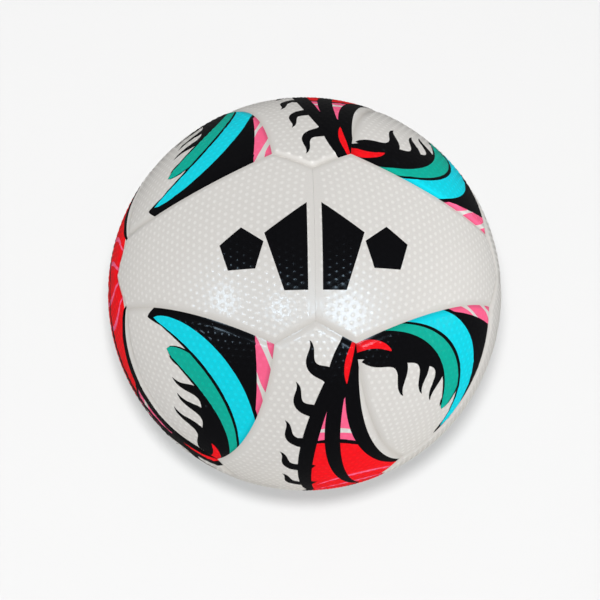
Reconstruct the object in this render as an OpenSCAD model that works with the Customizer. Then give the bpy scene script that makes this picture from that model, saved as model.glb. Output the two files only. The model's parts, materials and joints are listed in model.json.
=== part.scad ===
// Soccer ball, size 5: twenty bonded panels over foam, a wound carcass, an air bladder and its valve.
// Origin at the ball's centre. +Z leaves through the middle of the seam between the two top panels,
// which runs along Y. The side pairs meet on seams along Z, the front and back pairs on seams along X.
// All lengths are millimetres and all angles are degrees.

/* [Ball] */
// Circumference of the inflated ball
ball_circumference = 690; // [680:1:700]

/* [Panel layout] */
// Half the angle spanned by the straight seam that joins two paired panels
pair_seam_half_angle = 21.1; // [19:0.1:23]
// Angle spanned by each short seam, from the end of a pair seam to the tip of a corner panel
short_seam_angle = 12.2; // [10:0.1:14]
// How far a corner panel's side bows out beyond the straight line between its tips
corner_side_bow = 4.6; // [3:0.1:6]
// Angle by which the blunt end of a corner panel's tip is set back
tip_set_back = 0.2; // [0.1:0.05:0.4]

/* [Layers] */
// Thickness of the polyurethane skin
skin_t = 1.6; // [1.4:0.1:2]
// Thickness of the foam bonded behind each skin panel
foam_t = 3.2; // [2:0.1:4]
// Thickness of the wound and latex-coated carcass
carcass_t = 0.9; // [0.6:0.1:1.5]
// Thickness of the butyl bladder
bladder_t = 0.8; // [0.5:0.1:1.2]
// Clearance left between one layer and the next
layer_gap = 0.05; // [0.02:0.01:0.1]

/* [Seams] */
// Gap between two panels at the bottom of a seam
seam_gap = 0.12; // [0.06:0.02:0.3]
// Depth of the groove at a seam
groove_depth = 1.1; // [0.6:0.1:1.3]
// Width of the sloping edge on each side of a seam
groove_half_w = 2.4; // [1.5:0.1:3]

/* [Valve] */
// Radius of the rubber neck that reaches the surface
neck_r = 5; // [4:0.1:6]
// Radius of the flange that bonds the valve to the bladder
flange_r = 16; // [12:0.5:20]
// Thickness of the valve flange
flange_t = 1.4; // [1:0.1:2]
// Radius of the replaceable valve core
core_r = 3; // [2.5:0.1:3.5]
// Length of the valve core
core_l = 14; // [12:0.5:16]
// Radius of the inlet that takes an inflating needle
inlet_r = 1.1; // [1.05:0.05:1.3]
// Depth of the inlet above the closed slit
inlet_l = 7; // [5:0.5:9]
// Outer radius of the cloth patch around the valve
patch_r = 13; // [10:0.5:18]
// Thickness of the cloth patch, let into the back of the foam
patch_t = 0.6; // [0.4:0.1:0.8]

/* [Hidden] */
$fn = 96;

// Colours of the two kinds of panel layer
skin_colour = "#e4e0d8";
foam_colour = "#e8dcb4";

// Radii of the layers
ball_r = ball_circumference / (2 * PI);
skin_back_r = ball_r - skin_t;
foam_r = skin_back_r - layer_gap;
foam_back_r = foam_r - foam_t;
carcass_r = foam_back_r - layer_gap;
carcass_back_r = carcass_r - carcass_t;
bladder_r = carcass_back_r - layer_gap;
bladder_back_r = bladder_r - bladder_t;
flange_top_r = bladder_back_r - layer_gap;
seam_floor_r = ball_r - groove_depth;

// Reach of the cutting shapes, past the outside of the ball
reach = 1.1 * ball_r;
// Height at which the cutting cones start, inside every layer that they cut
cone_start = 0.2 * ball_r;

function unit(v) = v / norm(v);
// The direction reached by turning from direction a towards direction b
function toward(a, b, angle) =
    let (side = unit(b - (a * b) * a))
    a * cos(angle) + side * sin(angle);

// Directions, from the centre, that fix the panel layout. The rest follow by symmetry.
seam_end = [0, sin(pair_seam_half_angle), cos(pair_seam_half_angle)];
side_seam_end = [seam_end.z, 0, seam_end.y];
corner = unit([1, 1, 1]);
tip = toward(seam_end, corner, short_seam_angle);
next_tip = [tip.z, tip.x, tip.y];

// A bowed side is an arc of a small circle. The circle is the rim of a cone with its point at the centre.
side_middle = unit(tip + next_tip);
half_side = acos(side_middle * tip);
side_cone = atan2(1 - cos(corner_side_bow) * cos(half_side), sin(corner_side_bow) * cos(half_side));
side_axis = toward(side_middle, corner, side_cone - corner_side_bow);

// Half of the seam gap, as an angle on a bowed side
gap_angle = seam_gap / 2 / ball_r * 180 / PI;

// Inward directions of the short sides of the top right panel
upper_short_side = unit(cross(corner, seam_end));
outer_short_side = unit(cross(side_seam_end, corner));

// Middle of a paired panel, halfway between the pair seam and the outer point
panel_middle = unit([0, 0, 1] + side_seam_end);

// Angles that hold a whole corner panel and a whole paired panel about their middles
corner_spread = 35;
panel_spread = 50;

// The valve sits at the middle of the lower back panel, on its own outward axis
valve_axis = [0, panel_middle.z, -panel_middle.x];
// The neck's flat top lies just under the surface of the skin, and the core's just under the neck's
neck_sink = 0.6;
core_sink = 0.3;
neck_top = ball_r - neck_sink;
core_top = neck_top - core_sink;
core_bottom = core_top - core_l;

// Turns +Z to a direction
module aim(direction) {
    rotate([0, acos(direction.z / norm(direction)), atan2(direction.y, direction.x)]) children();
}

// Turns its children about the corner at [1, 1, 1]: 120 takes the top pair to the right, 240 to the back
module turned(angle) { rotate(a = angle, v = [1, 1, 1]) children(); }

// Layer of the ball between two radii, with each sphere's seam line turned away from a direction
module layer(outer_r, inner_r, direction) {
    rotate([0, asin(direction.z / norm(direction)), atan2(-direction.y, -direction.x)])
        difference() {
            sphere(r = outer_r);
            sphere(r = inner_r);
        }
}

// The part of a layer within an angle of a direction
module cap(outer_r, inner_r, direction, spread) {
    intersection() {
        layer(outer_r, inner_r, direction);
        aim(direction) bow_cone(spread);
    }
}

// Everything beyond a plane through the centre, clear of it by a margin
module beyond_straight(inward, margin) {
    aim(inward) translate([0, 0, margin]) cylinder(h = reach, r = reach);
}

// Everything on one side of a straight seam, with the seam's sloping edge on it
module beyond_straight_rolled(inward) {
    edge_r = sqrt(ball_r * ball_r - groove_half_w * groove_half_w);
    slope = (edge_r - seam_floor_r) / groove_half_w;
    aim(inward) translate([0, 0, seam_gap / 2])
        cylinder(h = reach, r1 = seam_floor_r, r2 = seam_floor_r + slope * reach);
}

// Solid cone on the +Z axis, from inside the layers to outside the ball
module bow_cone(half_angle) {
    translate([0, 0, cone_start])
        cylinder(h = reach - cone_start, r1 = cone_start * tan(half_angle), r2 = reach * tan(half_angle));
}

// The same cone, with a shoulder from the floor of the seam up to three times the groove's height.
// The shoulder leans in for a panel inside the cone and out for a panel outside it.
module bow_cone_rolled(half_angle, lean) {
    turn = lean * groove_half_w / ball_r * 180 / PI;
    floor_point = seam_floor_r * [sin(half_angle), cos(half_angle)];
    surface_point = ball_r * [sin(half_angle + turn), cos(half_angle + turn)];
    past_surface = floor_point + 3 * (surface_point - floor_point);
    rotate_extrude() polygon([
        [0, cone_start],
        [cone_start * tan(half_angle), cone_start],
        floor_point,
        past_surface,
        [past_surface.x, reach],
        [0, reach]
    ]);
}

// The cone behind the bowed side between the corner panel at [1, 1, 1] and the top right panel
module bow_side(half_angle, rolled, lean) {
    aim(side_axis)
        if (rolled) bow_cone_rolled(half_angle, lean);
        else bow_cone(half_angle);
}

// One straight side, with or without its sloping edge
module straight_side(inward, rolled) {
    if (rolled) beyond_straight_rolled(inward);
    else beyond_straight(inward, seam_gap / 2);
}

// Everything on the near side of the blunt end of the corner panel's first tip
module behind_tip() {
    outward = toward(corner, tip, acos(corner * tip) - tip_set_back + 90);
    beyond_straight(-outward, 0);
}

// The corner panel at [1, 1, 1]: three bowed sides that meet at blunt tips
module corner_layer(outer_r, inner_r, rolled) {
    intersection() {
        cap(outer_r, inner_r, corner, corner_spread);
        turned(120) behind_tip();
        turned(240) behind_tip();
        behind_tip();
        turned(120) bow_side(side_cone - gap_angle, rolled, -1);
        turned(240) bow_side(side_cone - gap_angle, rolled, -1);
        bow_side(side_cone - gap_angle, rolled, -1);
    }
}

// The top right panel: five straight sides, less the cones of its two bowed sides
module pair_layer(outer_r, inner_r, rolled) {
    half_angle = side_cone + gap_angle;
    difference() {
        intersection() {
            cap(outer_r, inner_r, panel_middle, panel_spread);
            straight_side([1, 0, 0], rolled);
            straight_side(upper_short_side, rolled);
            straight_side(outer_short_side, rolled);
            mirror([0, 1, 0]) straight_side(upper_short_side, rolled);
            mirror([0, 1, 0]) straight_side(outer_short_side, rolled);
        }
        bow_side(half_angle, rolled, 1);
        mirror([0, 1, 0]) bow_side(half_angle, rolled, 1);
    }
}

// Mirrors its children once for each negative sign
module by_signs(x, y, z) {
    mirror([x < 0 ? 1 : 0, 0, 0]) mirror([0, y < 0 ? 1 : 0, 0]) mirror([0, 0, z < 0 ? 1 : 0]) children();
}

// The skin and the foam of the top right pair panel and of the corner panel at [1, 1, 1]
module skin_panel() { color(skin_colour) pair_layer(ball_r, skin_back_r, true); }
module skin_corner() { color(skin_colour) corner_layer(ball_r, skin_back_r, true); }
module foam_panel() { color(foam_colour) pair_layer(foam_r, foam_back_r, false); }
module foam_corner() { color(foam_colour) corner_layer(foam_r, foam_back_r, false); }

// Cylinder along the valve's axis, between two distances from the ball's centre
module on_valve_axis(from_r, to_r, r) {
    aim(valve_axis) translate([0, 0, from_r]) cylinder(h = to_r - from_r, r = r);
}

// Opening for the valve's neck
module neck_hole() { on_valve_axis(cone_start, reach, neck_r + layer_gap); }

module skin_top_left() { by_signs(-1, 1, 1) skin_panel(); }
module skin_top_right() { by_signs(1, 1, 1) skin_panel(); }
module skin_bottom_left() { by_signs(-1, 1, -1) skin_panel(); }
module skin_bottom_right() { by_signs(1, 1, -1) skin_panel(); }
module skin_front_upper() { by_signs(1, -1, 1) turned(240) skin_panel(); }
module skin_front_lower() { by_signs(1, -1, -1) turned(240) skin_panel(); }
module skin_back_upper() { by_signs(1, 1, 1) turned(240) skin_panel(); }
module skin_back_lower() {
    color(skin_colour) difference() {
        by_signs(1, 1, -1) turned(240) skin_panel();
        neck_hole();
    }
}
module skin_left_front() { by_signs(-1, -1, 1) turned(120) skin_panel(); }
module skin_left_back() { by_signs(-1, 1, 1) turned(120) skin_panel(); }
module skin_right_front() { by_signs(1, -1, 1) turned(120) skin_panel(); }
module skin_right_back() { by_signs(1, 1, 1) turned(120) skin_panel(); }
module skin_corner_top_front_left() { by_signs(-1, -1, 1) skin_corner(); }
module skin_corner_top_front_right() { by_signs(1, -1, 1) skin_corner(); }
module skin_corner_top_back_left() { by_signs(-1, 1, 1) skin_corner(); }
module skin_corner_top_back_right() { by_signs(1, 1, 1) skin_corner(); }
module skin_corner_bottom_front_left() { by_signs(-1, -1, -1) skin_corner(); }
module skin_corner_bottom_front_right() { by_signs(1, -1, -1) skin_corner(); }
module skin_corner_bottom_back_left() { by_signs(-1, 1, -1) skin_corner(); }
module skin_corner_bottom_back_right() { by_signs(1, 1, -1) skin_corner(); }

module foam_top_left() { by_signs(-1, 1, 1) foam_panel(); }
module foam_top_right() { by_signs(1, 1, 1) foam_panel(); }
module foam_bottom_left() { by_signs(-1, 1, -1) foam_panel(); }
module foam_bottom_right() { by_signs(1, 1, -1) foam_panel(); }
module foam_front_upper() { by_signs(1, -1, 1) turned(240) foam_panel(); }
module foam_front_lower() { by_signs(1, -1, -1) turned(240) foam_panel(); }
module foam_back_upper() { by_signs(1, 1, 1) turned(240) foam_panel(); }
module foam_back_lower() {
    color(foam_colour) difference() {
        by_signs(1, 1, -1) turned(240) foam_panel();
        neck_hole();
        patch_recess();
    }
}
module foam_left_front() { by_signs(-1, -1, 1) turned(120) foam_panel(); }
module foam_left_back() { by_signs(-1, 1, 1) turned(120) foam_panel(); }
module foam_right_front() { by_signs(1, -1, 1) turned(120) foam_panel(); }
module foam_right_back() { by_signs(1, 1, 1) turned(120) foam_panel(); }
module foam_corner_top_front_left() { by_signs(-1, -1, 1) foam_corner(); }
module foam_corner_top_front_right() { by_signs(1, -1, 1) foam_corner(); }
module foam_corner_top_back_left() { by_signs(-1, 1, 1) foam_corner(); }
module foam_corner_top_back_right() { by_signs(1, 1, 1) foam_corner(); }
module foam_corner_bottom_front_left() { by_signs(-1, -1, -1) foam_corner(); }
module foam_corner_bottom_front_right() { by_signs(1, -1, -1) foam_corner(); }
module foam_corner_bottom_back_left() { by_signs(-1, 1, -1) foam_corner(); }
module foam_corner_bottom_back_right() { by_signs(1, 1, -1) foam_corner(); }

// Wound thread and cloth set in latex, under all the foam
module carcass() {
    color("#cbbf9a") difference() {
        layer(carcass_r, carcass_back_r, -valve_axis);
        neck_hole();
    }
}

// Air bladder
module bladder() {
    color("#2b2b2e") difference() {
        layer(bladder_r, bladder_back_r, -valve_axis);
        neck_hole();
    }
}

// Ring of cloth that strengthens the carcass around the valve
module valve_patch() {
    color("#b8b2a2") difference() {
        intersection() {
            layer(foam_back_r + patch_t, foam_back_r, valve_axis);
            on_valve_axis(cone_start, reach, patch_r);
        }
        neck_hole();
    }
}

// Room for the patch in the back of the foam
module patch_recess() {
    intersection() {
        rotate([asin(-valve_axis.z), 0, 0]) sphere(r = foam_back_r + patch_t + layer_gap);
        on_valve_axis(cone_start, reach, patch_r + layer_gap);
    }
}

// Flange bonded inside the bladder, and a neck that reaches the surface, bored for the core
module valve_housing() {
    color("#1d1d20") difference() {
        union() {
            intersection() {
                layer(flange_top_r, flange_top_r - flange_t, valve_axis);
                on_valve_axis(cone_start, reach, flange_r);
            }
            on_valve_axis(core_bottom, neck_top, neck_r);
        }
        on_valve_axis(cone_start, reach, core_r + layer_gap);
    }
}

// Rubber plug with an inlet for the needle, above a slit that the air pressure holds shut
module valve_core() {
    color("#3a3a3e") difference() {
        on_valve_axis(core_bottom, core_top, core_r);
        on_valve_axis(core_top - inlet_l, reach, inlet_r);
    }
}

skin_top_left();
skin_top_right();
skin_bottom_left();
skin_bottom_right();
skin_front_upper();
skin_front_lower();
skin_back_upper();
skin_back_lower();
skin_left_front();
skin_left_back();
skin_right_front();
skin_right_back();
skin_corner_top_front_left();
skin_corner_top_front_right();
skin_corner_top_back_left();
skin_corner_top_back_right();
skin_corner_bottom_front_left();
skin_corner_bottom_front_right();
skin_corner_bottom_back_left();
skin_corner_bottom_back_right();
foam_top_left();
foam_top_right();
foam_bottom_left();
foam_bottom_right();
foam_front_upper();
foam_front_lower();
foam_back_upper();
foam_back_lower();
foam_left_front();
foam_left_back();
foam_right_front();
foam_right_back();
foam_corner_top_front_left();
foam_corner_top_front_right();
foam_corner_top_back_left();
foam_corner_top_back_right();
foam_corner_bottom_front_left();
foam_corner_bottom_front_right();
foam_corner_bottom_back_left();
foam_corner_bottom_back_right();
carcass();
bladder();
valve_patch();
valve_housing();
valve_core();
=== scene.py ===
import json
import math

import bpy
import numpy as np
from mathutils import Matrix, Vector
from mathutils.geometry import delaunay_2d_cdt

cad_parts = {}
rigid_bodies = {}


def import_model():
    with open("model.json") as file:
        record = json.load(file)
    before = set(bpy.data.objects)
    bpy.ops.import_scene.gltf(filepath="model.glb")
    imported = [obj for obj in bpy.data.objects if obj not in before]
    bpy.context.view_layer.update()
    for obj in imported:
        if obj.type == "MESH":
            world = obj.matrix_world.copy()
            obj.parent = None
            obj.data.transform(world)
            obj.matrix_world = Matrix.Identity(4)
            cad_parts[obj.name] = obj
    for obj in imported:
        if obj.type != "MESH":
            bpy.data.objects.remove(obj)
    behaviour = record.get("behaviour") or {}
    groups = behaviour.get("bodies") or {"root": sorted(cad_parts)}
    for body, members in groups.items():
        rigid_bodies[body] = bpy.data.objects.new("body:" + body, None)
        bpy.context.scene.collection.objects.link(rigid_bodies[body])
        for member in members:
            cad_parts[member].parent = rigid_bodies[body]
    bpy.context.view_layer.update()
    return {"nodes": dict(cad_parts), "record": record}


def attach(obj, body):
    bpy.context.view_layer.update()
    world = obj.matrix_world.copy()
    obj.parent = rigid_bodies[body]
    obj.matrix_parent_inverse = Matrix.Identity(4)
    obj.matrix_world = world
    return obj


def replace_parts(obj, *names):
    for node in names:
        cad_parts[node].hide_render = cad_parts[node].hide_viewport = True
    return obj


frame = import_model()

# A soccer ball of twenty panels: six pairs of seven-sided panels and eight three-sided corner panels.
# Panels are drawn flat, in millimetres from the panel's middle, and then laid on the ball.

MM = 0.001
mounts = {mount["name"]: mount for mount in frame["record"]["mounts"]}
BALL_R = -mounts["resting_spot"]["pos_m"][2] / MM

# ---------------------------------------------------------------- panel layout

PAIR_SEAM_HALF_ANGLE = math.radians(21.1)   # half of the seam in the middle of a pair
SHORT_SEAM_ANGLE = math.radians(12.2)       # seam between a pair seam's end and a corner panel's tip
SIDE_BOW = math.radians(4.6)                # how far a corner panel's side bows out
HALF_GAP = 0.03            # half the gap between two panels
SKIN_T = 1.6               # thickness of the outer skin
GROOVE_W = 3.8             # width of the rolled edge of a panel
GROOVE_DEPTH = 0.95        # how far the edge of a panel is rolled in
PAIR_SEAM_DEPTH = 0.16     # the same, at the seam in the middle of a pair
ROLL_BIAS = 0.85           # below 1, a panel's edge is steepest near the seam
VALVE_HOLE_R = 5.1
VALVE_EDGE_DEPTH = 0.45    # how far the rim of the valve's hole is rolled in

DOT_PITCH = 4.0
DOT_R = 1.2
DOT_HEIGHT = 0.21
DOT_MARGIN = 3.0           # nearest that a dot's middle comes to a seam
DOME_POWER = 1.5           # above 1, a dot's foot runs out flat

SEAM_STEP = 1.7            # spacing of the mesh's points along a seam
RING_PLACES = (0, 0.12, 0.25, 0.38, 0.52, 0.67, 0.83, 1)   # rings of points across the rolled edge
HOLE_POINTS = 48           # points round the rim of the valve's hole
DOT_RINGS = ((0.5, 6), (0.85, 10), (1.12, 12))      # rings round a dot: share of its radius, points
BACK_PITCH = 4.0           # spacing of points on a panel's plain back
BACK_MARGIN = 1.5          # nearest that those points come to a seam
LATTICE = np.arange(-20, 21)    # steps of a lattice that reaches past any panel's seams
FRONT_MERGE = 1e-3         # points of the front nearer than this become one
BACK_MERGE = 1e-5
POINTS_AT_ONCE = 4000      # points whose distance to every dot is worked out together
SHARP_ANGLE = math.radians(40)

X, Y, Z = np.eye(3)


def unit(v):
    v = np.asarray(v, float)
    return v / np.linalg.norm(v)


def toward(a, b, angle):
    """The point on the unit ball at that angle from a, on the way to b."""
    return a * math.cos(angle) + unit(b - a.dot(b) * a) * math.sin(angle)


def turned(v):
    """v turned a third of a turn about the corner, X to Y to Z."""
    return v[[2, 0, 1]]


CORNER = unit((1, 1, 1))
SEAM_END = np.array((0, math.sin(PAIR_SEAM_HALF_ANGLE), math.cos(PAIR_SEAM_HALF_ANGLE)))
SIDE_SEAM_END = turned(SEAM_END)
TIP = toward(SEAM_END, CORNER, SHORT_SEAM_ANGLE)
NEXT_TIP = turned(TIP)
SIDE_MIDDLE = unit(TIP + NEXT_TIP)
HALF_SIDE = math.acos(SIDE_MIDDLE.dot(TIP))
SIDE_RUN = math.cos(HALF_SIDE)
SIDE_CONE = math.atan2(1 - math.cos(SIDE_BOW) * SIDE_RUN, math.sin(SIDE_BOW) * SIDE_RUN)
SIDE_AXIS = toward(SIDE_MIDDLE, CORNER, SIDE_CONE - SIDE_BOW)


def panel_axes(middle, top, hand=1):
    """Columns are a panel's own right, up and outward directions; hand -1 mirrors it left to right."""
    middle = unit(middle)
    up = unit(top - middle.dot(top) * middle)
    return np.column_stack((hand * np.cross(up, middle), up, middle))


def side(normal, axes, reach=math.pi / 2, depth=GROOVE_DEPTH):
    """A panel's side is a circle on the ball: the panel is what lies nearer than reach to normal."""
    return {"n": axes.T @ normal, "reach": reach - HALF_GAP / BALL_R, "depth": depth}


def around(sides):
    """The sides in order, anticlockwise as seen from outside."""
    return sorted(sides, key=lambda s: math.atan2(-s["n"][1], -s["n"][0]))


def pair_panel_sides():
    axes = panel_axes(Z + SIDE_SEAM_END, SIDE_SEAM_END)
    mirrored = np.array((1, -1, 1))
    upper = unit(np.cross(CORNER, SEAM_END))
    outer = unit(np.cross(SIDE_SEAM_END, CORNER))
    sides = [side(X, axes, depth=PAIR_SEAM_DEPTH)]
    for flip in (np.ones(3), mirrored):
        sides += [side(upper * flip, axes), side(outer * flip, axes)]
        sides.append(side(-SIDE_AXIS * flip, axes, math.pi - SIDE_CONE))
    return around(sides)


def corner_panel_sides():
    axes = panel_axes(CORNER, SEAM_END)
    normals = [SIDE_AXIS, turned(SIDE_AXIS), turned(turned(SIDE_AXIS))]
    return around([side(n, axes, SIDE_CONE) for n in normals])


def valve_hole_side():
    """The rim of the valve's hole, as one more side round the panel's middle."""
    rim = side(-Z, np.eye(3), math.pi - VALVE_HOLE_R / BALL_R, depth=VALVE_EDGE_DEPTH)
    rim["reach"] += HALF_GAP / BALL_R
    return rim


def flat_to_ball(flat):
    """Unit vectors for points given in millimetres from the panel's middle."""
    flat = np.asarray(flat, float)
    far = np.hypot(flat[:, 0], flat[:, 1])
    scale = np.sinc(far / BALL_R / math.pi) / BALL_R
    return np.column_stack((flat * scale[:, None], np.cos(far / BALL_R)))


def ball_to_flat(ball):
    ball = np.atleast_2d(ball)
    far = np.arccos(np.clip(ball[:, 2], -1, 1)) * BALL_R
    out = np.hypot(ball[:, 0], ball[:, 1])
    return ball[:, :2] * (far / np.maximum(out, 1e-12))[:, None]


def insets(ball, sides):
    """How far each point lies inside each side, in millimetres."""
    normals = np.array([s["n"] for s in sides])
    reach = np.array([s["reach"] for s in sides])
    return BALL_R * (reach - np.arccos(np.clip(ball @ normals.T, -1, 1)))


def meeting(a, b, inset):
    """Where two sides, both moved in by inset, cross."""
    ca, cb = (math.cos(s["reach"] - inset / BALL_R) for s in (a, b))
    k = a["n"].dot(b["n"])
    u, v = (ca - cb * k) / (1 - k * k), (cb - ca * k) / (1 - k * k)
    across = np.cross(a["n"], b["n"])
    w = math.sqrt((1 - u * u - v * v - 2 * u * v * k) / across.dot(across))
    points = [u * a["n"] + v * b["n"] + sign * w * across for sign in (1, -1)]
    return max(points, key=lambda p: p[2])


def ring(sides, inset):
    """The panel's outline moved in by inset, as flat points."""
    points = []
    for i, s in enumerate(sides):
        start = meeting(sides[i - 1], s, inset)
        end = meeting(s, sides[(i + 1) % len(sides)], inset)
        reach = s["reach"] - inset / BALL_R
        e = unit(start - s["n"] * math.cos(reach))
        f = np.cross(s["n"], e)
        turn = math.atan2(end.dot(f), end.dot(e))
        steps = math.ceil(abs(turn) * math.sin(reach) * BALL_R / SEAM_STEP)
        t = turn * np.arange(steps)[:, None] / steps
        points.append(s["n"] * math.cos(reach) + math.sin(reach) * (np.cos(t) * e + np.sin(t) * f))
    return ball_to_flat(np.vstack(points))


def circle(radius, count):
    t = 2 * math.pi * np.arange(count) / count
    return radius * np.column_stack((np.cos(t), np.sin(t)))


def dot_middles(sides):
    """Raised dots stand on a triangular lattice and stop short of the seams."""
    rise = math.sqrt(0.75)
    middles = DOT_PITCH * np.array([(i + 0.5 * (j % 2), rise * j) for i in LATTICE for j in LATTICE])
    return middles[insets(flat_to_ball(middles), sides).min(1) > DOT_MARGIN]


# ---------------------------------------------------------------- drawing the print

STRAIGHT_STEP = 2.0        # spacing of points along a straight side
SWEEP_POINTS = 49
SWEEP_TAPER = 1.7          # above 1, a crescent's ends are drawn out
LICK_POINTS = 21
LICK_TAPER = 0.8
LEAST_HALF_WIDTH = 0.02    # keeps a band's two edges apart at its ends


def straight_sided(ink, *corners):
    """A printed shape with straight sides and points along them."""
    corners = np.array(corners, float)
    loop = []
    for a, b in zip(corners, np.roll(corners, -1, axis=0)):
        count = max(1, round(np.linalg.norm(b - a) / STRAIGHT_STEP))
        loop += [a + (b - a) * i / count for i in range(count)]
    return ink, np.array(loop)


def arc_through(start, middle, end, count):
    """Points along the circle's arc that runs through three points."""
    a, b, c = (complex(*p) for p in (start, middle, end))
    w = (c - a) / (b - a)
    centre = a + (b - a) * (w - abs(w) ** 2) / (2j * w.imag)
    turn = np.angle((b - centre) / (a - centre)) + np.angle((c - centre) / (b - centre))
    line = centre + (a - centre) * np.exp(1j * turn * np.linspace(0, 1, count))
    return np.column_stack((line.real, line.imag))


def ribbon(ink, line, half_width):
    """A printed band along a line, with half its width at each point."""
    along = np.gradient(line, axis=0)
    across = np.column_stack((-along[:, 1], along[:, 0])) / np.linalg.norm(along, axis=1)[:, None]
    across *= np.maximum(half_width, LEAST_HALF_WIDTH)[:, None]
    return ink, np.vstack((line + across, (line - across)[::-1]))


def sweep(ink, start, middle, end, width, swell=0.5):
    """A crescent along an arc through three points, pointed at its ends, widest at swell of its length."""
    t = np.linspace(0, 1, SWEEP_POINTS)
    spread = ((t / swell) ** swell * ((1 - t) / (1 - swell)) ** (1 - swell)) ** SWEEP_TAPER
    return ribbon(ink, arc_through(start, middle, end, SWEEP_POINTS), width / 2 * spread)


def outlined(ink, start, middle, end, width, swell, line):
    """A crescent with a black outline as thick as line."""
    arc = (start, middle, end)
    return [sweep(BLACK, *arc, width + 2 * line, swell), sweep(ink, *arc, width, swell)]


def lick(ink, root, heading, length, width, curl):
    """A tapering lick that leaves its root at heading and curls one way, then back. Angles in degrees."""
    t = np.linspace(0, 1, LICK_POINTS)
    angle = np.radians(heading + curl * np.sin(2 * math.pi * t))
    steps = np.column_stack((np.cos(angle), np.sin(angle))) * length / (len(t) - 1)
    return ribbon(ink, np.cumsum(steps, axis=0) + root, width / 2 * (1 - t) ** LICK_TAPER)


def comb(ink, start, middle, end, count, lean, length, width, curl):
    """Equal licks, evenly set along an arc through three points and turned by lean from its direction."""
    line = arc_through(start, middle, end, count)
    along = np.gradient(line, axis=0)
    headings = np.degrees(np.arctan2(along[:, 1], along[:, 0])) + lean
    return [lick(ink, root, heading, length, width, curl) for root, heading in zip(line, headings)]


WHITE, BLACK, TURQUOISE, GREEN, PINK, RED = range(6)


def corner_print():
    """Nested crescents from the panel's top tip round its right side, with an even comb inside them."""
    drawing = []
    for i in range(4):
        arc = (30 + 8 * i, 30 - 12 * i), (32 + 6 * i, 14 - 13 * i), (26 + 5 * i, -8 - 14 * i)
        drawing.append(sweep(PINK, *arc, 7))
    drawing += [
        sweep(BLACK, (2, 66), (25, 4), (24, -72), 26),
        sweep(BLACK, (40, -28), (9, -38), (-27, -31), 22),
        sweep(BLACK, (-12, 60), (14, 30), (17, -14), 15, 0.45),
    ]
    drawing += comb(BLACK, (0, 50), (12, 32), (17, 8), 4, -58, length=39, width=13, curl=42)
    drawing += outlined(GREEN, (7, 54), (18.5, 4), (-12, -18), 14, 0.64, 1.6)
    drawing += outlined(TURQUOISE, (6, 58), (28, 2), (-22, -32), 12.5, 0.6, 2)
    drawing.append(sweep(RED, (-24, 50), (-6, 57), (5, 38), 5, 0.6))
    return drawing


def pair_print():
    """Black bands that leave one upper tip and fan out on their way down over a red field."""
    drawing = [
        straight_sided(PINK, (-1, -5), (2, 16), (8, 30), (16, 30), (19, 14), (24, -6)),
        straight_sided(RED, (-2, -5), (14, -2), (28, -10), (50, -42), (46, -70), (2, -70)),
    ]
    drawing += [sweep(ink, (-5, y), (12, y + 2), (30, y - 7), 3) for ink, y in ((WHITE, 3), (BLACK, -5))]
    drawing += [sweep(PINK, (4, -y), (26, 12 - y), (52, -y), 2.4) for y in (52, 66)]
    drawing += comb(BLACK, (9, 36), (1, -6), (3, -50), 5, -136, length=26, width=9, curl=40)
    for i in range(3):
        arc = (25, 67), (11 * i - 1.5, 7 * i), (12 + 22 * i, 25 * i - 96)
        drawing.append(sweep(BLACK, *arc, 8, 0.45))
    drawing += [
        sweep(BLACK, (28, 70), (14.5, 42), (9, 16), 15),
        sweep(RED, (22, 58), (17, 46), (16, 33), 3.5),
    ]
    return drawing


EMBLEM_MIDDLE_Y = -4       # the emblem's row lies a little in front of the ball's top
EMBLEM_GAP = 3.6           # white strip between the seam and the emblem
EMBLEM_R = 26              # of the middle pentagon
EMBLEM_SIDE_R = 12         # of the pentagons beside it
EMBLEM_SIDE_X = 36.5       # their distance from the seam


def pentagon(x, y, radius):
    turns = 2 * math.pi * np.arange(5) / 5
    return np.column_stack((x + radius * np.sin(turns), y + radius * np.cos(turns)))


def right_of(loop, x_least):
    """The part of a convex loop with x over x_least."""
    kept = []
    for a, b in zip(loop, np.roll(loop, -1, axis=0)):
        if a[0] >= x_least:
            kept.append(a)
        if (a[0] >= x_least) != (b[0] >= x_least):
            kept.append(a + (b - a) * (x_least - a[0]) / (b[0] - a[0]))
    return np.array(kept)


def emblem_print():
    """Half of a row of three pentagons that is centred on the top pair's seam."""
    axes = panel_axes(Z + SIDE_SEAM_END, SIDE_SEAM_END)
    middle = right_of(pentagon(0, EMBLEM_MIDDLE_Y, EMBLEM_R), EMBLEM_GAP)
    outer = pentagon(EMBLEM_SIDE_X, EMBLEM_MIDDLE_Y, EMBLEM_SIDE_R)
    loops = [straight_sided(BLACK, *corners)[1] for corners in (middle, outer)]
    return [(BLACK, ball_to_flat(flat_to_ball(loop) @ axes)) for loop in loops]


# ---------------------------------------------------------------- panel meshes

def inside(points, loop):
    """True for the points that the loop winds round."""
    winding = np.zeros(len(points), int)
    near = np.all((points >= loop.min(0)) & (points <= loop.max(0)), axis=1)
    x, y = points[near].T
    wound = np.zeros(len(x), int)
    for (ax, ay), (bx, by) in zip(loop, np.roll(loop, -1, axis=0)):
        left = (bx - ax) * (y - ay) - (by - ay) * (x - ax)
        wound += (ay <= y) & (by > y) & (left > 0)
        wound -= (ay > y) & (by <= y) & (left < 0)
    winding[near] = wound
    return winding != 0


def triangulate(points, edges, merge):
    """Triangles over flat points that keep the edges. Points nearer to each other than merge are joined."""
    verts, _, faces, _, _, _ = delaunay_2d_cdt([Vector(p) for p in points], edges, [], 0, merge, False)
    return np.array([tuple(v) for v in verts]), np.array([tuple(f) for f in faces])


def within(flat, faces, sides):
    """The faces whose middles lie inside every side."""
    return faces[insets(flat_to_ball(flat[faces].mean(1)), sides).min(1) > 0]


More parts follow.
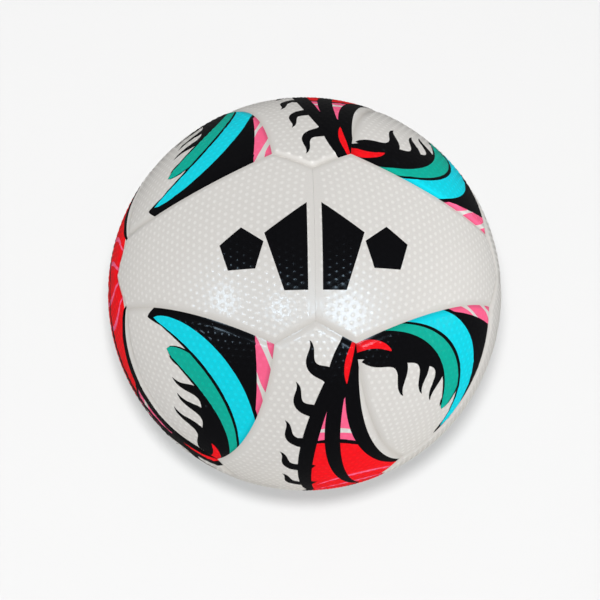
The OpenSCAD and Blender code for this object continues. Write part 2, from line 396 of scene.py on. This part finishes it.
def front_mesh(sides, hole, drawing, dots):
    """Triangles over the front that keep its outline, its rolled edge, the print's edges and the dots."""
    loops = [ring(sides, place * GROOVE_W) for place in RING_PLACES]
    if hole:
        loops += [circle(VALVE_HOLE_R + place * GROOVE_W, HOLE_POINTS) for place in RING_PLACES]
    loops += [loop for _, loop in drawing]
    points, edges = [], []
    for loop in loops:
        first, count = len(points), len(loop)
        points += list(loop)
        edges += [(first + i, first + (i + 1) % count) for i in range(count)]
    points += list(dots)
    for share, count in DOT_RINGS:
        for p in circle(share * DOT_R, count):
            points += list(dots + p)
    return triangulate(points, edges, FRONT_MERGE)


def surface_height(flat, sides, dots):
    """Radius of the outer surface, and how far it is rolled in or risen to a dot, as shares from 0 to 1."""
    gap = np.maximum(insets(flat_to_ball(flat), sides), 0)
    depth = np.array([s["depth"] for s in sides])
    roll = 0.5 + 0.5 * np.cos(math.pi * np.minimum(gap / GROOVE_W, 1) ** ROLL_BIAS)
    rolled = (depth * roll).max(1)
    far = np.empty(len(flat))
    for first in range(0, len(flat), POINTS_AT_ONCE):
        part = slice(first, first + POINTS_AT_ONCE)
        far[part] = np.linalg.norm(flat[part][:, None] - dots[None], axis=2).min(1)
    dome = np.maximum(1 - (far / DOT_R) ** 2, 0) ** DOME_POWER
    return BALL_R - rolled + DOT_HEIGHT * dome, rolled / GROOVE_DEPTH, dome


def open_edges(faces):
    """The edges that only one face has, each with that face's number."""
    halves = np.vstack((faces[:, [0, 1]], faces[:, [1, 2]], faces[:, [2, 0]])).tolist()
    owners = np.tile(np.arange(len(faces)), 3).tolist()
    known = {tuple(half) for half in halves}
    return [(a, b, owner) for (a, b), owner in zip(halves, owners) if (b, a) not in known]


def plain_back(flat, border, rims):
    """The back's flat points and faces, and which of those points lies under each point of the border."""
    rim_points = sorted({v for a, b, _ in border for v in (a, b)})
    under = {v: i for i, v in enumerate(rim_points)}
    grid = BACK_PITCH * np.array([(i, j) for i in LATTICE for j in LATTICE])
    grid = grid[insets(flat_to_ball(grid), rims).min(1) > BACK_MARGIN]
    edges = [(under[a], under[b]) for a, b, _ in border]
    back, faces = triangulate(np.vstack((flat[rim_points], grid)), edges, BACK_MERGE)
    return back, within(back, faces, rims), under


def without_spares(solid):
    """The same solid without the vertices that no face uses."""
    used = sorted({v for face in solid["faces"] for v in face})
    place = {v: i for i, v in enumerate(used)}
    kept = {key: solid[key][used] for key in ("vertices", "groove", "dot")}
    faces = [[place[v] for v in face] for face in solid["faces"]]
    return {"faces": faces, "ink": solid["ink"], **kept}


def make_design(sides, drawing, hole=None):
    """A panel as a closed solid on the ball round +Z: printed front, walls along the rims, plain back."""
    rims = sides + ([hole] if hole else [])
    dots = dot_middles(rims)
    flat, faces = front_mesh(sides, hole, drawing, dots)
    faces = within(flat, faces, rims)
    middles = flat[faces].mean(1)
    ink = np.full(len(faces), WHITE)
    for colour, loop in drawing:
        ink[inside(middles, loop)] = colour
    height, groove, dome = surface_height(flat, rims, dots)
    front = flat_to_ball(flat) * height[:, None]

    border = open_edges(faces)
    back_flat, back_faces, under = plain_back(flat, border, rims)
    back = flat_to_ball(back_flat) * (BALL_R - SKIN_T)
    first = len(front)
    walls = [[b, a, first + under[a], first + under[b]] for a, b, _ in border]
    backs = [[first + v for v in face[::-1]] for face in back_faces.tolist()]
    return without_spares({
        "vertices": np.vstack((front, back)),
        "faces": faces.tolist() + walls + backs,
        "ink": ink.tolist() + [int(ink[owner]) for _, _, owner in border] + [WHITE] * len(backs),
        "groove": np.concatenate((groove, np.ones(len(back)))),
        "dot": np.concatenate((dome, np.zeros(len(back)))),
    })


def make_panel(name, design, axes, materials):
    """Lays a design on the ball as one piece of the model."""
    faces = design["faces"]
    if np.linalg.det(axes) < 0:
        faces = [f[::-1] for f in faces]
    mesh = bpy.data.meshes.new(name)
    mesh.from_pydata((design["vertices"] @ axes.T * MM).tolist(), [], faces)
    for material in materials:
        mesh.materials.append(material)
    mesh.polygons.foreach_set("material_index", design["ink"])
    for key in ("groove", "dot"):
        mesh.attributes.new(key, "FLOAT", "POINT").data.foreach_set("value", design[key])
    mesh.shade_smooth()
    mesh.set_sharp_from_angle(angle=SHARP_ANGLE)
    panel = bpy.data.objects.new(name, mesh)
    bpy.context.scene.collection.objects.link(panel)
    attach(panel, "root")
    return panel


# ---------------------------------------------------------------- materials

class Nodes:
    """A short way to write a node tree."""

    def __init__(self, name):
        self.material = bpy.data.materials.new(name)
        self.material.use_nodes = True
        self.tree = self.material.node_tree
        self.shader = self.tree.nodes["Principled BSDF"]

    def add(self, kind, **settings):
        node = self.tree.nodes.new("ShaderNode" + kind)
        for key, value in settings.items():
            setattr(node, key, value)
        return node

    def link(self, source, target):
        self.tree.links.new(source, target)

    def noise(self, scale, detail=3.0):
        where = self.add("TexCoord")
        noise = self.add("TexNoise")
        noise.inputs["Scale"].default_value = scale
        noise.inputs["Detail"].default_value = detail
        self.link(where.outputs["Object"], noise.inputs["Vector"])
        return noise.outputs["Fac"]

    def ramp(self, value, low, high):
        """low and high are (place, colour)"""
        ramp = self.add("ValToRGB")
        for element, (place, colour) in zip(ramp.color_ramp.elements, (low, high)):
            element.position = place
            element.color = (*colour, 1)
        self.link(value, ramp.inputs["Fac"])
        return ramp.outputs["Color"]

    def mask(self, value, low, high):
        """0 up to low, 1 from high"""
        return self.ramp(value, (low, (0, 0, 0)), (high, (1, 1, 1)))

    def mix(self, share, a, b):
        """Sockets 6 and 7 of the node's inputs and 2 of its outputs are the ones for colours."""
        mix = self.add("Mix", data_type="RGBA")
        self.link(share, mix.inputs["Factor"])
        for source, socket in ((a, mix.inputs[6]), (b, mix.inputs[7])):
            if isinstance(source, tuple):
                socket.default_value = (*source, 1)
            else:
                self.link(source, socket)
        return mix.outputs[2]

    def span(self, value, low, high):
        """value from 0 to 1 spread over low to high"""
        spread = self.add("MapRange")
        spread.inputs["To Min"].default_value = low
        spread.inputs["To Max"].default_value = high
        self.link(value, spread.inputs["Value"])
        return spread.outputs["Result"]

    def bump(self, value, strength, distance):
        bump = self.add("Bump")
        bump.inputs["Strength"].default_value = strength
        bump.inputs["Distance"].default_value = distance
        self.link(value, bump.inputs["Height"])
        self.link(bump.outputs["Normal"], self.shader.inputs["Normal"])

    def set(self, **values):
        for key, value in values.items():
            self.shader.inputs[key.replace("_", " ")].default_value = value


def shaded(colour, factor):
    return tuple(min(1, c * factor) for c in colour)


# Scales of the skin's noise, in waves per metre
CLOUD_SCALE = 35
SHEEN_SCALE = 300
GRAIN_SCALE = 1800
FLECK_SCALE = 2600
COAT_ROUGHNESS = 0.13
INK_COAT = 0.15
INK_SPECULAR = 0.2


def skin_material(name, colour, dot_highlight_colour, groove_grime_and_shade, roughness, coat, specular):
    """Coated polyurethane: faint clouding and pearl flecks, a painted highlight on the dots' tops, and
    grime together with painted shade darkening the seams' grooves.
    """
    nodes = Nodes(name)
    clouds = nodes.noise(CLOUD_SCALE)
    base = nodes.ramp(clouds, (0.35, shaded(colour, 0.985)), (0.65, shaded(colour, 1.01)))
    base = nodes.mix(nodes.mask(nodes.noise(FLECK_SCALE, 1), 0.4, 0.75), base, shaded(colour, 1.05))
    # Painted highlight: the dots' tops paler, as domes catching the light would look
    dot = nodes.add("Attribute", attribute_name="dot")
    base = nodes.mix(nodes.mask(dot.outputs["Fac"], 0, 0.5), base, dot_highlight_colour)
    # Grime and painted shade: darker and warmer towards the bottom of the seams' grooves
    groove = nodes.add("Attribute", attribute_name="groove")
    base = nodes.mix(nodes.mask(groove.outputs["Fac"], 0.35, 0.95), base, groove_grime_and_shade)
    nodes.link(base, nodes.shader.inputs["Base Color"])
    sheen = nodes.span(nodes.noise(SHEEN_SCALE), roughness - 0.05, roughness + 0.05)
    nodes.link(sheen, nodes.shader.inputs["Roughness"])
    nodes.bump(nodes.noise(GRAIN_SCALE, 4), 0.12, 0.0001)
    nodes.set(Coat_Weight=coat, Coat_Roughness=COAT_ROUGHNESS, Specular_IOR_Level=specular)
    return nodes.material


def ink_material(name, colour, roughness=0.22):
    """Printed skin: the dots' painted highlight only a little paler, and the seams' grime and painted shade
    only a little darker, than the ink.
    """
    # A paler copy of the ink for the dots' painted highlight, a darker one for the seams' grime and painted
    # shade
    dot_highlight_colour, groove_grime_and_shade = shaded(colour, 1.12), shaded(colour, 0.8)
    return skin_material(name, colour, dot_highlight_colour, groove_grime_and_shade, roughness, INK_COAT, INK_SPECULAR)


def rubber_material(name, colour):
    """Moulded rubber with a faint bloom."""
    nodes = Nodes(name)
    bloom = nodes.ramp(nodes.noise(180), (0.3, shaded(colour, 0.8)), (0.7, shaded(colour, 1.5)))
    nodes.link(bloom, nodes.shader.inputs["Base Color"])
    nodes.link(nodes.span(nodes.noise(900), 0.45, 0.65), nodes.shader.inputs["Roughness"])
    nodes.bump(nodes.noise(2500, 4), 0.2, 0.0001)
    return nodes.material


def foam_material():
    """Closed-cell foam: fine cells pitted into a cream ground."""
    nodes = Nodes("closed_cell_foam")
    cells = nodes.add("TexVoronoi")
    cells.inputs["Scale"].default_value = 1400
    nodes.link(nodes.add("TexCoord").outputs["Object"], cells.inputs["Vector"])
    tint = nodes.ramp(cells.outputs["Distance"], (0.1, (0.62, 0.56, 0.4)), (0.6, (0.86, 0.81, 0.66)))
    nodes.link(tint, nodes.shader.inputs["Base Color"])
    nodes.bump(cells.outputs["Distance"], 0.4, 0.0002)
    nodes.set(Roughness=0.85)
    return nodes.material


def woven_material(name, colour, threads):
    """Threads that cross, set in latex; threads is how close they lie."""
    nodes = Nodes(name)
    where = nodes.add("TexCoord").outputs["Object"]
    heights = []
    for direction in ("X", "Y", "Z"):
        wave = nodes.add("TexWave", bands_direction=direction)
        wave.inputs["Scale"].default_value = threads
        wave.inputs["Distortion"].default_value = 1.5
        nodes.link(where, wave.inputs["Vector"])
        heights.append(wave.outputs["Fac"])
    weave = heights[0]
    for height in heights[1:]:
        blend = nodes.add("Math", operation="MAXIMUM")
        nodes.link(weave, blend.inputs[0])
        nodes.link(height, blend.inputs[1])
        weave = blend.outputs[0]
    tint = nodes.ramp(weave, (0.2, shaded(colour, 0.6)), (0.9, shaded(colour, 1.1)))
    nodes.link(tint, nodes.shader.inputs["Base Color"])
    nodes.bump(weave, 0.5, 0.0003)
    nodes.set(Roughness=0.8)
    return nodes.material


PEARL_WHITE = (0.69, 0.672, 0.645)
# Painted highlight for the dots' tops
PEARL_DOT_HIGHLIGHT = (0.785, 0.77, 0.745)
# Grime and painted shade for the bottom of the seams' grooves
SEAM_GRIME_AND_SHADE = (0.66, 0.635, 0.6)

# In the order of WHITE, BLACK, TURQUOISE, GREEN, PINK and RED
inks = [
    skin_material("pearl_white", PEARL_WHITE, PEARL_DOT_HIGHLIGHT, SEAM_GRIME_AND_SHADE, 0.38, 0.45, 0.5),
    ink_material("ink_black", (0.0035, 0.0035, 0.0045), 0.2),
    ink_material("ink_turquoise", (0.0, 0.64, 0.77)),
    ink_material("ink_green", (0.0, 0.41, 0.31)),
    ink_material("ink_pink", (0.95, 0.125, 0.27)),
    ink_material("ink_red", (0.9, 0.002, 0.008)),
]

# ---------------------------------------------------------------- the ball

pair_sides = pair_panel_sides()
corner_sides = corner_panel_sides()
plain = make_design(pair_sides, [])
emblem = make_design(pair_sides, emblem_print())
banded = make_design(pair_sides, pair_print())
valved = make_design(pair_sides, pair_print(), valve_hole_side())
waved = make_design(corner_sides, corner_print())

# The pair's own direction, the direction that the panel leans to, its design and its hand
PAIR_PANELS = {
    "top_left": (Z, -X, emblem, -1),
    "top_right": (Z, X, emblem, 1),
    "bottom_left": (-Z, -X, emblem, 1),
    "bottom_right": (-Z, X, emblem, -1),
    "front_upper": (-Y, Z, banded, 1),
    "front_lower": (-Y, -Z, banded, -1),
    "back_upper": (Y, Z, banded, -1),
    "back_lower": (Y, -Z, valved, 1),
    "left_front": (-X, -Y, banded, -1),
    "left_back": (-X, Y, banded, 1),
    "right_front": (X, -Y, plain, 1),
    "right_back": (X, Y, plain, 1),
}


def seam_end(pair, lean):
    """The end, nearer to pair, of the middle seam of the pair at lean. Both are directions of pairs."""
    return pair * math.sin(PAIR_SEAM_HALF_ANGLE) + lean * math.cos(PAIR_SEAM_HALF_ANGLE)


def add_pair_panels():
    for name, (pair, lean, design, hand) in PAIR_PANELS.items():
        top = seam_end(pair, lean)
        panel = make_panel("panel_" + name, design, panel_axes(pair + top, top, hand), inks)
        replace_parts(panel, "skin_" + name)


def add_corner_panels():
    """Crescents leave the top or bottom pair's seam on the right, the front or back pair's on the left."""
    for high, z in (("top", 1), ("bottom", -1)):
        for near, y in (("front", -1), ("back", 1)):
            for hand_name, x in (("left", -1), ("right", 1)):
                top = seam_end(y * Y, z * Z) if x > 0 else seam_end(x * X, y * Y)
                axes = panel_axes(x * X + y * Y + z * Z, top, -x * y * z)
                name = f"corner_{high}_{near}_{hand_name}"
                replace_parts(make_panel("panel_" + name, waved, axes, inks), "skin_" + name)


def dress_inner_parts():
    """The parts under the skin keep their CAD shape and get their own materials."""
    foam = foam_material()
    dressed = {
        "carcass": woven_material("wound_thread", (0.72, 0.66, 0.5), 500),
        "bladder": rubber_material("butyl_rubber", (0.02, 0.02, 0.022)),
        "valve_patch": woven_material("patch_cloth", (0.6, 0.57, 0.48), 900),
        "valve_housing": rubber_material("valve_rubber", (0.012, 0.012, 0.014)),
        "valve_core": rubber_material("core_rubber", (0.03, 0.03, 0.034)),
    }
    for name, node in frame["nodes"].items():
        material = foam if name.startswith("foam_") else dressed.get(name)
        if material:
            node.data.materials.clear()
            node.data.materials.append(material)


add_pair_panels()
add_corner_panels()
dress_inner_parts()

# ---------------------------------------------------------------- floor, light and camera

FLOOR_SIZE = 24.0
FLOOR_COLOUR = (0.12, 0.12, 0.12)
FLOOR_GLOW = 0.435
FAR_FLOOR_GLOW = 0.93
FLOOR_FADE = (0.35, 1.4)   # distance over which the floor turns from lit to glowing
HORIZON_COLOUR = (0.93, 0.915, 0.89)


def add_floor():
    """A pale floor. Far away it glows evenly instead of being lit, and from below it is clear."""
    bpy.ops.mesh.primitive_plane_add(size=FLOOR_SIZE, location=(0, 0, -BALL_R * MM))
    floor = bpy.context.object
    floor.name = "floor"
    nodes = Nodes("floor_paper")
    distance = nodes.add("VectorMath", operation="LENGTH")
    nodes.link(nodes.add("TexCoord").outputs["Object"], distance.inputs[0])
    far = nodes.add("MapRange", interpolation_type="SMOOTHSTEP")
    far.inputs["From Min"].default_value, far.inputs["From Max"].default_value = FLOOR_FADE
    nodes.link(distance.outputs["Value"], far.inputs["Value"])
    grain = nodes.ramp(nodes.noise(60), (0.3, shaded(FLOOR_COLOUR, 0.995)), (0.7, FLOOR_COLOUR))
    nodes.link(nodes.mix(far.outputs["Result"], grain, (0, 0, 0)), nodes.shader.inputs["Base Color"])
    glow = nodes.span(far.outputs["Result"], FLOOR_GLOW, FAR_FLOOR_GLOW)
    nodes.link(glow, nodes.shader.inputs["Emission Strength"])
    nodes.set(Roughness=1.0, Specular_IOR_Level=0.0, Emission_Color=(1, 1, 1, 1))
    choose = nodes.add("MixShader")
    nodes.link(nodes.add("NewGeometry").outputs["Backfacing"], choose.inputs["Fac"])
    nodes.link(nodes.shader.outputs["BSDF"], choose.inputs[1])
    nodes.link(nodes.add("BsdfTransparent").outputs["BSDF"], choose.inputs[2])
    nodes.link(choose.outputs["Shader"], nodes.tree.nodes["Material Output"].inputs["Surface"])
    floor.data.materials.append(nodes.material)
    floor.visible_glossy = False
    return floor


LAMP_DISTANCE = 2.2
LAMP_COLOUR = (0.58, 0.8, 1.0)
BOUNCE_COLOUR = (1.0, 0.93, 0.8)
# Each lamp's azimuth from +X and elevation in degrees, its size in metres and its power in watts
LAMPS = ((-163.5, 40, 0.5, 9), (-127, 63, 0.4, 7), (-85, 70, 0.15, 1.3), (-50, 58.5, 0.7, 17))
FILL = (-10, 8, 0.6, 9)
RIM = (-95, 18, 0.4, 72)
BOUNCE = (-68, -62, 0.8, 36)
SHADOW_LAMP = (-106, 80.2, 0.035, 131)
RIM_LIT = ("panel_back_upper", "panel_corner_top_back_right")

SKY_STRENGTH = 1.02
SKY_REFLECTED = 0.05       # the sky's strength in reflections
ZENITH_FROM = 0.7          # height on the unit ball where the sky turns white


def lamp_place(azimuth, elevation, distance):
    a, e = math.radians(azimuth), math.radians(elevation)
    return distance * Vector((math.cos(a) * math.cos(e), math.sin(a) * math.cos(e), math.sin(e)))


def add_lamp(name, azimuth, elevation, size, power, highlight=True):
    """A square soft lamp that faces the ball and gives only its highlight, or only its even light."""
    data = bpy.data.lights.new(name, "AREA")
    data.size = size
    data.energy = power
    data.color = LAMP_COLOUR if highlight else (1, 1, 1)
    lamp = bpy.data.objects.new(name, data)
    lamp.visible_diffuse = not highlight
    lamp.visible_glossy = highlight
    lamp.location = lamp_place(azimuth, elevation, LAMP_DISTANCE)
    lamp.rotation_mode = "QUATERNION"
    lamp.rotation_quaternion = lamp.location.to_track_quat("Z", "Y")
    bpy.context.scene.collection.objects.link(lamp)
    return lamp


def light_only(lamp, things):
    """Keeps a lamp's light to some things."""
    lit = bpy.data.collections.new("lit_by_" + lamp.name)
    for thing in things:
        lit.objects.link(thing)
    lamp.light_linking.receiver_collection = lit


def add_edge_lamps():
    """Two lamps without shadows: one for two back panels' near edges, one for the floor's warm bounce."""
    panels = [thing for thing in bpy.data.objects if thing.name.startswith("panel_")]
    rim = add_lamp("rim", *RIM, highlight=False)
    light_only(rim, [panel for panel in panels if panel.name in RIM_LIT])
    bounce = add_lamp("bounce", *BOUNCE, highlight=False)
    bounce.data.color = BOUNCE_COLOUR
    light_only(bounce, panels)
    for lamp in (rim, bounce):
        lamp.data.use_shadow = False


def add_sky():
    """Even light, warmer towards the horizon. Reflections see it darker, as black cards would make it."""
    world = bpy.data.worlds.new("studio")
    world.use_nodes = True
    tree = world.node_tree
    background = tree.nodes["Background"]
    where = tree.nodes.new("ShaderNodeTexCoord")
    split = tree.nodes.new("ShaderNodeSeparateXYZ")
    tree.links.new(where.outputs["Generated"], split.inputs["Vector"])
    tint = tree.nodes.new("ShaderNodeValToRGB")
    horizon, zenith = tint.color_ramp.elements
    horizon.color, zenith.color = (*HORIZON_COLOUR, 1), (1, 1, 1, 1)
    zenith.position = ZENITH_FROM
    tree.links.new(split.outputs["Z"], tint.inputs["Fac"])
    tree.links.new(tint.outputs["Color"], background.inputs["Color"])
    ray = tree.nodes.new("ShaderNodeLightPath")
    level = tree.nodes.new("ShaderNodeMapRange")
    level.inputs["To Min"].default_value = SKY_STRENGTH
    level.inputs["To Max"].default_value = SKY_REFLECTED
    tree.links.new(ray.outputs["Is Glossy Ray"], level.inputs["Value"])
    tree.links.new(level.outputs["Result"], background.inputs["Strength"])
    bpy.context.scene.world = world


def add_shadow_lamp(floor, azimuth, elevation, radius, power):
    """A small lamp near the camera that lights only the floor, for the narrow shadow round the ball."""
    data = bpy.data.lights.new("shadow_lamp", "POINT")
    data.energy = power
    data.shadow_soft_size = radius
    data.use_nodes = True
    nodes = data.node_tree.nodes
    falloff = nodes.new("ShaderNodeLightFalloff")
    falloff.inputs["Strength"].default_value = 1
    data.node_tree.links.new(falloff.outputs["Constant"], nodes["Emission"].inputs["Strength"])
    lamp = bpy.data.objects.new("shadow_lamp", data)
    lamp.location = lamp_place(azimuth, elevation, CAMERA_DISTANCE * BALL_R * MM)
    light_only(lamp, [floor])
    bpy.context.scene.collection.objects.link(lamp)


CAMERA_AZIMUTH = -11.3     # degrees; 0 looks along +Y
CAMERA_ELEVATION = 75.65
CAMERA_ROLL = 10.6
CAMERA_DISTANCE = 6.84     # in ball radii
CAMERA_LENS = 79.75        # millimetres, on a sensor 36 wide
CAMERA_SHIFT = (-0.0077, -0.0102)


def add_camera():
    data = bpy.data.cameras.new("camera")
    data.lens = CAMERA_LENS
    data.shift_x, data.shift_y = CAMERA_SHIFT
    camera = bpy.data.objects.new("camera", data)
    a, e = math.radians(CAMERA_AZIMUTH), math.radians(CAMERA_ELEVATION)
    back = Vector((math.sin(a) * math.cos(e), -math.cos(a) * math.cos(e), math.sin(e)))
    roll = Matrix.Rotation(math.radians(CAMERA_ROLL), 4, "Z")
    turn = back.to_track_quat("Z", "Y").to_matrix().to_4x4() @ roll
    camera.matrix_world = Matrix.Translation(back * CAMERA_DISTANCE * BALL_R * MM) @ turn
    data.clip_start = 0.01
    bpy.context.scene.collection.objects.link(camera)
    bpy.context.scene.camera = camera


add_sky()
add_shadow_lamp(add_floor(), *SHADOW_LAMP)
for number, lamp in enumerate(LAMPS, 1):
    add_lamp(f"lamp_{number}", *lamp)
add_lamp("fill", *FILL, highlight=False)
add_edge_lamps()
add_camera()
bpy.context.scene.view_settings.view_transform = "Standard"
